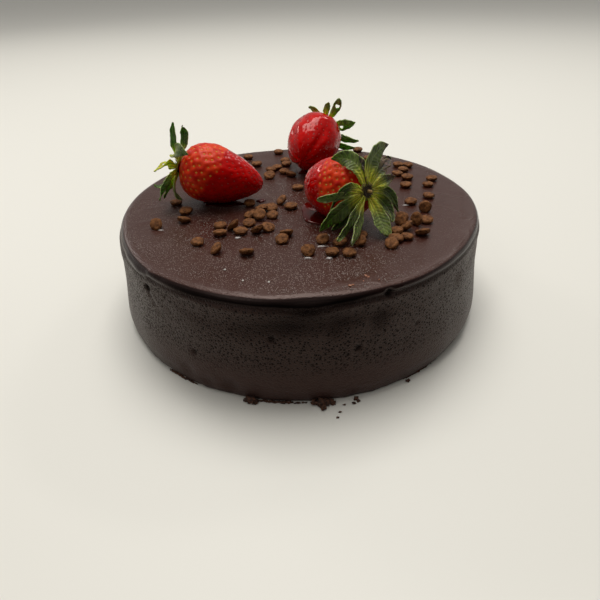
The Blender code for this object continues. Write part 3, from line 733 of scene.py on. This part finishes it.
def berry_finish():
    """Skin with its dimples marked: orange red and satin where bare, deep red and wet under syrup."""
    skin = new_finish("strawberry skin")
    syrup, pit = skin.attribute("syrup"), skin.attribute("pit")
    mottle = skin.ramp(skin.mottle(200.0, 3.0), 0.3, 0.7)
    # painted shade: the inner part of each bare dimple is darkened
    bare = skin.blend(BARE_DEEP, (mottle, BARE_LIGHT), (skin.ramp(pit, 0.15, 0.45, 0.0, 0.75), BARE_RIM),
                      (skin.ramp(pit, 0.5, 0.85), BARE_DIMPLE_SHADE))
    soaked = skin.blend(SOAKED_DEEP, (mottle, SOAKED_LIGHT),
                        (skin.ramp(pit, 0.35, 0.9, 0.0, 0.4), SOAKED_DIMPLE))
    return skin.into({
        "Base Color": skin.blend(bare, (syrup, soaked)), "IOR": 1.3, "Specular Tint": (1.0, 0.5, 0.45),
        "Roughness": skin.ramp(syrup, 0.0, 1.0, 0.42, 0.09), "Coat IOR": 1.4, "Coat Roughness": 0.11,
        "Coat Weight": skin.ramp(syrup, 0.0, 1.0, 0.08, 0.22), "Subsurface Weight": 0.05,
        "Subsurface Radius": (3.0, 0.5, 0.3), "Subsurface Scale": 1 * MM,
        "Normal": skin.bump(skin.mottle(1400.0, 2.0), 0.25, 0.1 * MM)})


def seed_places(berry):
    """Along and turn of each seed, in the spiral rows that a strawberry has."""
    for number in range(SEEDS):
        high = 1 - 2 * (number + 0.5) / SEEDS
        if high < 0.93:
            jitter = 0.05 * sin(number * 12.9898)
            yield math.acos(high), number * GOLDEN_ANGLE + jitter


def repeat(bm, count):
    """Copy what is in bm until it is there count times, and list the vertices of each copy."""
    block = [len(bm.verts), len(bm.edges), len(bm.faces)]
    copies = 1
    while copies < count:
        share = min(copies, count - copies)
        kinds = zip((bm.verts, bm.edges, bm.faces), block)
        bmesh.ops.duplicate(bm, geom=[part for kind, size in kinds for part in kind[:share * size]])
        copies += share
    verts = list(bm.verts)
    return [verts[start:start + block[0]] for start in range(0, len(verts), block[0])]


strawberry_skin = berry_finish()
lies = []  # of each seed: how it lies, and the syrup on it
for side, berry in BERRIES.items():
    turn_up = berry_frame(berry)
    places = list(seed_places(berry))
    seeds = kdtree.KDTree(len(places))
    for number, (along, turn) in enumerate(places):
        seeds.insert(berry_point(berry, along, turn), number)
    seeds.balance()
    bm = bmesh.new()
    bmesh.ops.create_grid(bm, x_segments=BERRY_TURNS, y_segments=BERRY_RINGS, size=1)
    skin_syrup = bm.verts.layers.float.new("syrup")
    skin_pit = bm.verts.layers.float.new("pit")
    for vertex in bm.verts:
        turn, along = (vertex.co.x + 1) * pi, (1 - vertex.co.y) / 2 * pi
        point = berry_point(berry, along, turn)
        syrup = syrup_on(berry, point)
        off = seeds.find(point)[2]
        pit = exp(-((off / DIMPLE_WIDTH) ** 2))
        deep = 1 + (berry.bare - 1) * syrup
        fold = wander(2.2 * cos(turn), 2.2 * sin(turn), point.z / 0.01)
        uneven = (0.1 * noise.noise(point / 0.004) + berry.folds * fold) * MM
        lift = deep * (CUSHION * min(1.0, off / (2 * MM)) ** 2 - DIMPLE_DEPTH * pit) + uneven
        vertex.co = point + around(turn, sin(along), cos(along)) * lift
        vertex[skin_syrup] = syrup
        vertex[skin_pit] = pit
    bmesh.ops.remove_doubles(bm, verts=bm.verts, dist=0.001 * MM)
    move(bm, bm.verts, turn_up)
    bmesh.ops.recalc_face_normals(bm, faces=bm.faces)
    skin = piece_from(f"strawberry_{side}", bm, strawberry_skin)
    dress(skin, replaced=[f"berry_{side}"])

    for along, turn in places:
        here = berry_point(berry, along, turn)
        syrup = syrup_on(berry, here)
        tipward = (berry_point(berry, along + 0.05, turn) - here).normalized()
        outward = tipward.cross(Vector((-sin(turn), cos(turn), 0))).normalized()
        if outward.dot(here) < 0:
            outward.negate()
        deep = 1 + (berry.bare - 1) * syrup
        sunk = Matrix.Translation(here - outward * (DIMPLE_DEPTH * deep * 0.85 - 0.05 * MM))
        lie = turn_to(tipward, outward.cross(tipward), outward)
        lies.append((turn_up @ sunk @ lie @ Matrix.Diagonal((*SEED_SIZE, 1.0)), syrup))

bm = bmesh.new()
seed_syrup = bm.verts.layers.float.new("syrup")
for vertex in ball(bm, 2):
    vertex.co.y *= 1 - 0.45 * vertex.co.x  # drop shaped
for (lie, syrup), copy in zip(lies, repeat(bm, len(lies))):
    for vertex in copy:
        vertex.co = lie @ vertex.co
        vertex[seed_syrup] = syrup
seed = new_finish("strawberry seed")
seed_colour = seed.blend(SEED_STRAW, (seed.attribute("syrup"), SEED_SYRUP))
seed_skin = seed.into({"Base Color": seed_colour, "Roughness": 0.45})
dress(piece_from("strawberry_seeds", bm, seed_skin))

# ---------------- leafy crowns
# Each berry keeps its crown: narrow soft leaves round a hairy hub with a stub of stem. They are
# fresh green with pale rims, yellow at the root, and on the right berry some are dry and torn.
HUB_RADIUS = 4.2 * MM
HUB_THICKNESS = 1.3 * MM
HUB_STANDOFF = 1.0 * MM
STEM_RADIUS = 0.75 * MM
STEM_LENGTH = 2.8 * MM
FIBRES = 22
LEAF_THICKNESS = 0.35 * MM
LEAF_ROOT_RADIUS = 2.7
LEAF_ROOT_SHARE = 0.1
LEAF_LEAST_WIDTH = 0.35
LEAF_STALK = 0.09
LEAF_LENGTH_STEPS = 34
LEAF_WIDTH_STEPS = 14
LEAF_STEP = 0.02  # share of a leaf over which its direction is taken
ROOT_ZONE = (5.5 * MM, 13 * MM)  # reach from the hub in which the leaves turn yellow
# As the solids: middle and tip are (turn, reach, rise) from the hub in degrees and mm, then
# width, full, roll and trough. dry: share of the leaf, from the tip, that has withered. ragged:
# how uneven its edge is. hole: (along, across, radius) of an eaten spot as shares of the leaf.
# tone: how light its green is, 0 to 1; a low tone is painted shade on a leaf that lies in shadow.
Leaf = namedtuple("Leaf", "middle tip width full roll trough dry ragged hole tone",
                  defaults=(1.2, 0, 0.7, 0.0, 0.08, None, 0.85))
LEAVES = {
    "left": (
        Leaf((-7, 13, 3), (-1, 21.5, 4.3), 3.6, 1.2, 75, 0.3),
        Leaf((18, 14, -1), (12, 19.5, 0.8), 4.6, 1.3, 70, 0.4, dry=0.08),
        Leaf((-30, 11.5, 0.6), (-40, 14, -5.6), 7.2, 1.2, 180, -0.8),
        Leaf((-70, 6, 5), (-130, 5, 11), 5.6, 1.2, 0, 0.8, hole=(0.62, -0.2, 0.07)),
        Leaf((-110, 11, 2.2), (-138, 18.6, 5.8), 5, 1.2, 20),
        Leaf((-148, 10, 2.5), (-154, 16.6, 4.6), 5, 1.2, 20, 0.6),
        Leaf((-134, 12, -0.6), (-146, 15.6, -4.6), 3.8, 1.2, 0, 0.5),
        Leaf((177, 11, 5), (174, 13, 12), 3.6, 1.2, 0, 0.5),
        Leaf((84, 11, -0.8), (92, 16, -4), 5.6, 1.2, 0, 0.8),
        Leaf((122, 11, 0.6), (118, 16.5, 1.5), 5),
    ),
    "back": (
        Leaf((-27, 10, -1), (-37, 14, -1), 3.6, 1.2, 0, 0.6),
        Leaf((12, 10, 0), (16, 15.6, -1), 3.8, 1.2, 0, 0.6),
        Leaf((37, 12, 0.2), (33, 20.8, -1), 4.8, 2, 0, 0.6, hole=(0.7, 0.1, 0.075)),
        Leaf((86, 11, -0.6), (80, 19.8, 0.2), 6.8, 1.2, 0, 0.8, hole=(0.5, 0.25, 0.06)),
        Leaf((126, 13, -0.4), (112, 23, 0), 4.6, 1.4),
        Leaf((148, 14, -0.6), (128, 23.5, 1.5), 4.4, 1.3, 0, 0.6),
        Leaf((-75, 9, -0.6), (-82, 13, -1.5), 5.2),
        Leaf((-122, 10, 0), (-116, 17, 1), 4.8),
        Leaf((-170, 9, 1), (-166, 14, 4), 5),
    ),
    "right": (
        Leaf((11, 13, -3.4), (26, 17, -12.4), 8.6, 1.1, 0, 0.6, tone=1),
        Leaf((-3, 10, -0.8), (-4, 15.5, -4.5), 2.2, 1.2, 0, 0.2, dry=1, ragged=0.25),
        Leaf((-27, 13.8, -0.8), (-52, 25.8, -4), 8.6, 1.45, 0, 0.7, dry=0.04, ragged=0.08, tone=0.75),
        Leaf((-59, 13, -1.2), (-68, 24.5, -5), 7.4, 2, -30, 0.9, dry=0.45, ragged=0.25, tone=0.5),
        Leaf((-80, 10.5, 0.8), (-84, 18, 1.2), 5.4, 1.4, -20, 0.9, dry=0.3, ragged=0.2, tone=0.45),
        Leaf((-108, 14, 0.6), (-130, 24.3, 1.4), 4.6, 1.2, 0, 0.6, tone=0.55),
        Leaf((-131, 13.5, 1), (-152, 18.2, 6), 6.4, 1.6, 0, 0.7, tone=0.4),
        Leaf((-169, 11, 3.4), (176, 18.8, 10.4), 11, 2.4, 0, 0.8, ragged=0.05, tone=1),
        Leaf((136, 15, 3.6), (123, 27.6, 10.6), 5.2, 2.2, 0, 0.5, ragged=0.05, tone=0.9),
        Leaf((124, 15.6, 2.2), (118, 29.2, 5.4), 5, 1.3, 0, 0.6, tone=0.6),
        Leaf((128, 13.5, -2.6), (128, 22, -6.6), 4.4, 1.3, 0, 0.5, tone=0.35),
        Leaf((108, 16.6, -2.4), (117, 26.6, -7.6), 7.4, 1.3, 0, 0.8, tone=0.7),
        Leaf((84, 14.5, -1.6), (86, 22.5, -8), 3.6, 1.9, 0, 0.5, tone=0.9),
        Leaf((72, 13.5, -0.6), (110, 16.5, -8), 4, 1, 0, 0.7, tone=0.25),
    ),
}
CROWN_GREEN = {"left": (0.1, 0.18, 0.03), "back": (0.13, 0.235, 0.03), "right": (0.145, 0.19, 0.036)}
BACK_PALE = (0.17, 0.19, 0.095)  # down on the back of a leaf, over half of its green
MIDRIB, LEAF_RIM = (0.3, 0.36, 0.12), (0.42, 0.46, 0.2)
# the grooves between the pleats of the yellow root are painted darker: painted shade
ROOT_GROOVE_SHADE, ROOT_YELLOW = (0.42, 0.44, 0.03), (0.88, 0.84, 0.09)
DRY_DARK, DRY_LIGHT = (0.03, 0.022, 0.014), (0.16, 0.1, 0.06)
HUB_BROWN, HUB_EDGE = (0.045, 0.028, 0.01), (0.36, 0.32, 0.04)
STEM_BROWN, STEM_CUT = (0.07, 0.045, 0.012), (0.42, 0.25, 0.07)


def polar(turn, reach, rise):
    """A point of a crown: degrees round the axis, mm out from it and mm along it."""
    return around(radians(turn), reach * MM, rise * MM)


def leaf_line(leaf, along):
    """Point on the curve through root, middle and tip, along from 0 to 1."""
    root = polar(leaf.middle[0], LEAF_ROOT_RADIUS, LEAF_ROOT_SHARE * leaf.middle[2])
    middle, tip = polar(*leaf.middle), polar(*leaf.tip)
    return (root * (2 * along - 1) * (along - 1) + middle * 4 * along * (1 - along)
            + tip * along * (2 * along - 1))


def leaf_width(leaf, along):
    full = sin(pi * (LEAF_STALK + (1 - LEAF_STALK) * along) ** leaf.full)
    return max(leaf.width * max(full, 0.0) ** max(0.4, 1.1 - 0.3 * leaf.full), LEAF_LEAST_WIDTH) * MM


def crown_leaf(bm, leaf, turn_up, layers, seed):
    """A grid bent along the leaf's line, with a folded midrib, waves and an uneven edge."""
    made = bmesh.ops.create_grid(bm, x_segments=LEAF_LENGTH_STEPS, y_segments=LEAF_WIDTH_STEPS,
                                 size=1)["verts"]
    faces = {face for vertex in made for face in vertex.link_faces}
    for vertex in made:
        along, across = (vertex.co.x + 1) / 2, vertex.co.y
        here = leaf_line(leaf, along)
        run = (leaf_line(leaf, along + LEAF_STEP) - leaf_line(leaf, along - LEAF_STEP)).normalized()
        outward = Vector((0, 0, 1)) - run * run.z
        if outward.length < 0.3:
            inward = Vector((-here.x, -here.y, 0))
            outward = inward - run * run.dot(inward)
        outward.normalize()
        sideways = outward.cross(run)
        roll = Matrix.Rotation(radians(leaf.roll) * min(1.0, 2.5 * along), 3, run)
        tear = 1 + leaf.ragged * wander(along * 9, across * 0.6 + seed, 0.0) * 2
        dry = smooth_step(along, 1.0 - leaf.dry - 0.12, 1.0 - leaf.dry + 0.05) if leaf.dry else 0.0
        root = 1 - smooth_step(hypot(here.x, here.y), *ROOT_ZONE)
        wave = (0.35 + 0.5 * dry) * sin(9 * along + 2 * across + seed)
        wave += 0.65 * wander(along * 6, across * 2, seed)
        wave += 0.45 * wander(along * 15, across * 5, seed + 40)
        wave += 0.22 * cos(3 * pi * across) * root
        rib = -0.25 * exp(-(across / 0.16) ** 2) * sin(pi * min(1, along + 0.1))
        lift = leaf.trough * abs(across) ** 1.4 * sin(pi * along) + wave * abs(across) + rib
        aside = leaf_width(leaf, along) / 2 * across * tear * (1 - 0.3 * dry)
        vertex.co = here + roll @ (sideways * aside + outward * lift * MM)
        for layer, value in zip(layers, (along, across, dry, root, leaf.tone)):
            vertex[layer] = value
    if leaf.hole:
        at_along, at_across, size = leaf.hole
        length = (polar(*leaf.tip) - polar(*leaf.middle)).length * 2
        gone = []
        for face in faces:
            along, across = (sum(vertex[layer] for vertex in face.verts) / 4 for layer in layers[:2])
            off = (across - at_across) * leaf_width(leaf, along) / 2 / length
            if hypot(along - at_along, off) < size:
                gone.append(face)
        bmesh.ops.delete(bm, geom=gone, context="FACES")
        made = [vertex for vertex in made if vertex.is_valid]
    move(bm, made, turn_up)


def toned(colour, share):
    return tuple(value * share for value in colour)


def leaf_finish(name, fresh, under):
    """Leaf tissue: yellow root, green blade with veins, pale rim, brown where it has withered."""
    leaf = new_finish(name)
    along, dry, root, tone = (leaf.attribute(layer) for layer in ("along", "dry", "root", "tone"))
    across = leaf.maths("ABSOLUTE", leaf.attribute("across"))
    mottle = leaf.mottle(420.0, 4.0)
    pale = tuple(0.5 * value + light for value, light in zip(fresh, BACK_PALE))
    blade = pale if under else fresh
    deep = toned(blade, 0.42)
    veins = leaf.maths("SINE", leaf.plus(leaf.minus(leaf.times(along, 75.0), leaf.times(across, 9.0)),
                                         leaf.times(mottle, 3.0)))
    veined = leaf.blend(deep, (leaf.ramp(mottle, 0.3, 0.7), blade),
                        (leaf.ramp(veins, 0.5, 1.0, 0.0, 0.35), toned(blade, 1.7)))
    # darker bands across the root: painted shade in the pleats
    pleats = leaf.ramp(leaf.maths("COSINE", leaf.times(across, 11.0)), -0.8, 0.8)
    yellow = leaf.blend(ROOT_GROOVE_SHADE, (pleats, ROOT_YELLOW))
    brown = leaf.blend(DRY_DARK, (leaf.ramp(mottle, 0.35, 0.65), DRY_LIGHT))
    # painted shade: a leaf with a low tone is coloured darker as a whole
    colour = leaf.blend(toned(deep, 0.3), (tone, veined), (leaf.ramp(across, 0.1, 0.02, 0.0, 0.5), MIDRIB),
                        (leaf.ramp(across, 0.86, 1.0, 0.0, 0.5), LEAF_RIM), (leaf.times(root, 0.9), yellow),
                        (dry, brown))
    return leaf.into({
        "Base Color": colour, "Roughness": 0.55, "IOR": 1.4, "Subsurface Weight": 0.7,
        "Subsurface Radius": (0.6, 1.0, 0.2), "Subsurface Scale": 1.2 * MM,
        "Normal": leaf.bump(leaf.minus(mottle, leaf.times(veins, 0.5)), 0.6, 0.25 * MM)})


def hub_finish():
    """Brown and dry in the middle, yellow green where the leaves start."""
    hub = new_finish("crown hub")
    mottle = hub.mottle(900.0, 3.0)
    edge = hub.plus(hub.attribute("reach"), hub.ramp(mottle, 0.3, 0.7, -0.25, 0.25))
    colour = hub.blend(HUB_BROWN, (hub.ramp(edge, 0.6, 1.1), HUB_EDGE))
    return hub.into({"Base Color": colour, "Roughness": 0.75, "Normal": hub.bump(mottle, 0.6, 0.2 * MM)})


def stem_finish():
    stem = new_finish("cut stem")
    colour = stem.blend(STEM_BROWN, (stem.attribute("reach"), STEM_CUT))
    return stem.into({"Base Color": colour, "Roughness": 0.6})


def cone(bm, foot, tip, length, sides):
    made = bmesh.ops.create_cone(bm, cap_ends=True, segments=sides, radius1=foot, radius2=tip, depth=length)
    return made["verts"]


hub_brown, stem_green = hub_finish(), stem_finish()
for side, berry in BERRIES.items():
    turn_up = berry_frame(berry) @ Matrix.Translation((0, 0, berry.length / 2 + HUB_STANDOFF))
    bm = bmesh.new()
    layers = [bm.verts.layers.float.new(name) for name in ("along", "across", "dry", "root", "tone")]
    for number, leaf in enumerate(LEAVES[side]):
        crown_leaf(bm, leaf, turn_up, layers, 2.3 * number + len(LEAVES[side]))
    upper = leaf_finish(f"leaf face {side}", CROWN_GREEN[side], False)
    lower = leaf_finish(f"leaf back {side}", CROWN_GREEN[side], True)
    leaves = piece_from(f"crown_leaves_{side}", bm, upper, lower)
    thick = leaves.modifiers.new("thickness", "SOLIDIFY")
    thick.thickness = LEAF_THICKNESS
    thick.offset = 0.0
    thick.material_offset = 1
    dress(leaves, replaced=[f"calyx_{side}"])

    bm = bmesh.new()
    reach_layer = bm.verts.layers.float.new("reach")
    made = bmesh.ops.create_uvsphere(bm, u_segments=48, v_segments=16, radius=1.0)["verts"]
    for vertex in made:
        turn, reach = atan2(vertex.co.y, vertex.co.x), hypot(vertex.co.x, vertex.co.y)
        ridge = 0.16 * sin(11 * turn) * reach + 0.2 * noise.noise(vertex.co * 5)
        vertex[reach_layer] = reach
        vertex.co = Vector((vertex.co.x * HUB_RADIUS, vertex.co.y * HUB_RADIUS,
                            vertex.co.z * HUB_THICKNESS / 2 * (1 + ridge) + (1 - reach) * 0.3 * MM))
    move(bm, made, turn_up)
    made = cone(bm, STEM_RADIUS * 1.25, STEM_RADIUS * 0.85, STEM_LENGTH, 14)
    for vertex in made:
        vertex[reach_layer] = 1.0 if vertex.co.z > 0 else 0.0
        for face in vertex.link_faces:
            face.material_index = 1
    move(bm, made, turn_up @ Matrix.Translation((0, 0, STEM_LENGTH / 2)))
    rng = random.Random(len(LEAVES[side]))
    for number in range(FIBRES):
        turn = tau * number / FIBRES + rng.uniform(-0.12, 0.12)
        lean, long = rng.uniform(35, 80), rng.uniform(1.6, 3.4) * MM
        made = cone(bm, 0.22 * MM, 0.07 * MM, long, 5)
        stand = (Matrix.Rotation(turn, 4, "Z") @ Matrix.Translation((1.5 * MM, 0, 0.5 * MM))
                 @ turned(lean, "Y") @ Matrix.Translation((0, 0, long / 2)))
        move(bm, made, turn_up @ stand)
    dress(piece_from(f"crown_hub_{side}", bm, hub_brown, stem_green))

# ---------------- syrup that ran off the fruit
# The clear syrup brushed on the berries gathered in low pools at their feet, red where it lies
# thick, and in wet beads against some of the drops.
# (x, y, half widths in mm, turn in degrees, height in mm)
POOLS = ((9, -15.5, 8.6, 13, 8, 1.4), (-19.5, 1.5, 2.6, 1.8, 20, 0.9), (-38, 0, 11, 4.5, 0, 0.5),
         (6, 47, 8, 8, -20, 0.6))
BEADS = ((3.3, -59.6, 1.5, 0.66, 0, 0.55), (12.1, -60, 1.35, 0.72, 10, 0.55),
         (9.2, -49.6, 2.1, 0.54, 0, 0.45), (-27.9, -39.8, 1.35, 0.66, 5, 0.5),
         (53.5, -8.5, 1.5, 0.66, 0, 0.5), (-64.5, -30.5, 1.125, 0.54, 0, 0.45))
SYRUP_RED = {"Base Color": (0.06, 0.002, 0.001), "Roughness": 0.04, "IOR": 1.38,
             "Specular Tint": (1.0, 0.6, 0.55)}
# painted highlight: the clear syrup beads are coloured pale; their gloss is real
BEAD_PAINTED_HIGHLIGHT = {"Base Color": (0.42, 0.38, 0.36), "Roughness": 0.15, "IOR": 1.4}


def pools(name, places, uneven, seed, finish):
    """Low domes with wandering edges, their flat sides just inside the glaze."""
    bm = bmesh.new()
    for number, (middle_x, middle_y, across, along, way, height) in enumerate(places):
        made = ball(bm, 4)
        for vertex in made:
            x, y, z = vertex.co
            turn = atan2(y, x)
            edge = 1 + uneven * wander(cos(turn) * 1.6, sin(turn) * 1.6, seed + number)
            high = height * z ** 0.7 if z > 0 else 0.25 * z
            vertex.co = Vector((x * across * edge, y * along * edge, high)) * MM
        stand = Matrix.Translation((middle_x * MM, middle_y * MM, CAKE_HEIGHT)) @ turned(way)
        move(bm, made, stand)
    dress(piece_from(name, bm, finish))


pools("syrup_pools", POOLS, 0.28, 5.0, new_finish("syrup").into(SYRUP_RED))
pools("wet_beads", BEADS, 0.5, 20.0, new_finish("wet bead").into(BEAD_PAINTED_HIGHLIGHT))

# ---------------- marks on the glaze
# Fine beads of water that came with the chill, three white grains near the front rim, and a few
# orange brown flecks at the right front.
MIST_SEED = 11
MIST_BEADS = 9000
# painted glint: the clear water beads are coloured pale
MIST_BEAD_GLINT = {"Base Color": (0.33, 0.28, 0.25), "Roughness": 0.2, "IOR": 1.4}
# (x, y, radius in mm)
GRAINS = ((-30.5, -67.6, 0.42), (-22.5, -76.2, 0.38), (-12.3, -77.7, 0.42))
GRAIN_WHITE = {"Base Color": (0.72, 0.7, 0.66), "Roughness": 0.4}
FLECKS = ((18.8, -81.5, 0.8), (25.7, -74.5, 0.7), (26.6, -75.4, 0.6), (20, -80.9, 0.5),
          (24.3, -78.2, 0.35), (30.5, -77.4, 0.3))
FLECK_ORANGE = {"Base Color": (0.38, 0.16, 0.085), "Roughness": 0.4}

rng = random.Random(MIST_SEED)
beads = []
while len(beads) < MIST_BEADS:
    turn, reach = rng.uniform(0, tau), math.sqrt(rng.random()) * (RIM_RADIUS - 4 * MM)
    x, y = reach * cos(turn), reach * sin(turn)
    crowd = wander(x / 0.028, y / 0.028, 7.0) + 0.9 * (0.1 - y / RIM_RADIUS)
    crowd -= 1.2 * smooth_step(x, 35 * MM, 60 * MM)
    if rng.random() < 0.25 + 0.6 * crowd:
        beads.append((Vector((x, y, CAKE_HEIGHT)), rng.uniform(0.1, 0.22) * MM))
bm = bmesh.new()
ball(bm, 1)
for (place, size), copy in zip(beads, repeat(bm, MIST_BEADS)):
    for vertex in copy:
        vertex.co = place + vertex.co * size
dress(piece_from("mist_beads", bm, new_finish("mist bead").into(MIST_BEAD_GLINT)))

bm = bmesh.new()
for number, (x, y, size) in enumerate(GRAINS):
    place = Vector((x * MM, y * MM, CAKE_HEIGHT + 0.5 * size * MM))
    lump(bm, place, size * MM, 1.1, number, 0.2, 50 + number)
dress(piece_from("white_grains", bm, new_finish("white grain").into(GRAIN_WHITE)))

bm = bmesh.new()
for number, (x, y, size) in enumerate(FLECKS):
    place = Vector((x * MM, y * MM, CAKE_HEIGHT + 0.2 * size * MM))
    lump(bm, place, size * MM * 0.7, 1.5, 2.0 * number, 0.5, 70 + number)
dress(piece_from("orange_flecks", bm, new_finish("orange fleck").into(FLECK_ORANGE)))
